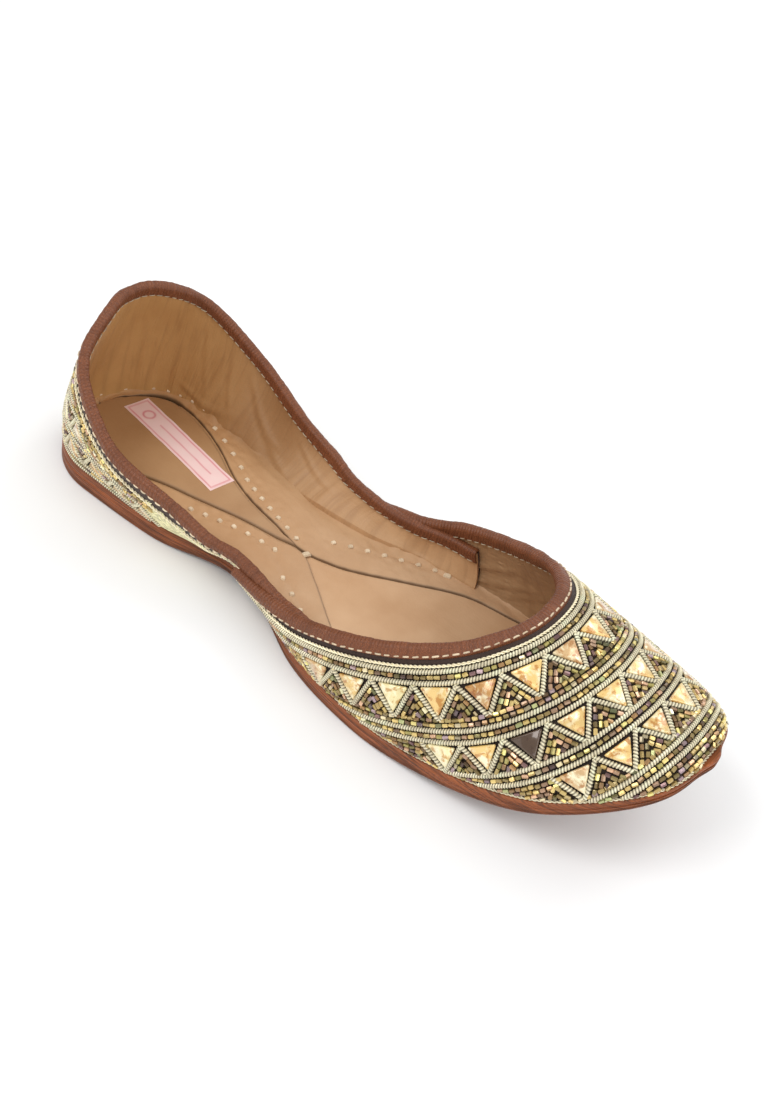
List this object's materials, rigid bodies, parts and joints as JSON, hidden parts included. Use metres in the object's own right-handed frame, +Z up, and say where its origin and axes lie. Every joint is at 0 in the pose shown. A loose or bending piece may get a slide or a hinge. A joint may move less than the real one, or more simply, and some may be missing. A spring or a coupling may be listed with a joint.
{
  "type": "mojari shoe",
  "caption": "Flat slip-on shoe with a turned-up toe, deep open throat, high heel wall and thin leather sole.",
  "frame": {"origin": "on the floor, at the middle of the shoe's length and width", "axes": "+X towards the toe, +Y to the wearer's left, +Z up"},
  "size_m": [0.253, 0.08, 0.0639],
  "materials": {
    "sole_leather": "satin, waxed edge",
    "lining_leather": "smooth matt",
    "binding_leather": "grained satin",
    "beaded_cloth": "dull woven",
    "metal_thread": "bright wound wire",
    "glass_bead": "glossy iridescent",
    "shell_plate": "glossy mottled",
    "sewing_thread": "waxed thread",
    "label_cloth": "matt printed"
  },
  "bodies": {
    "root": {"outsole": "sole_leather", "insole": "lining_leather", "quarter": "beaded_cloth", "vamp": "beaded_cloth"}
  },
  "joints": []
}
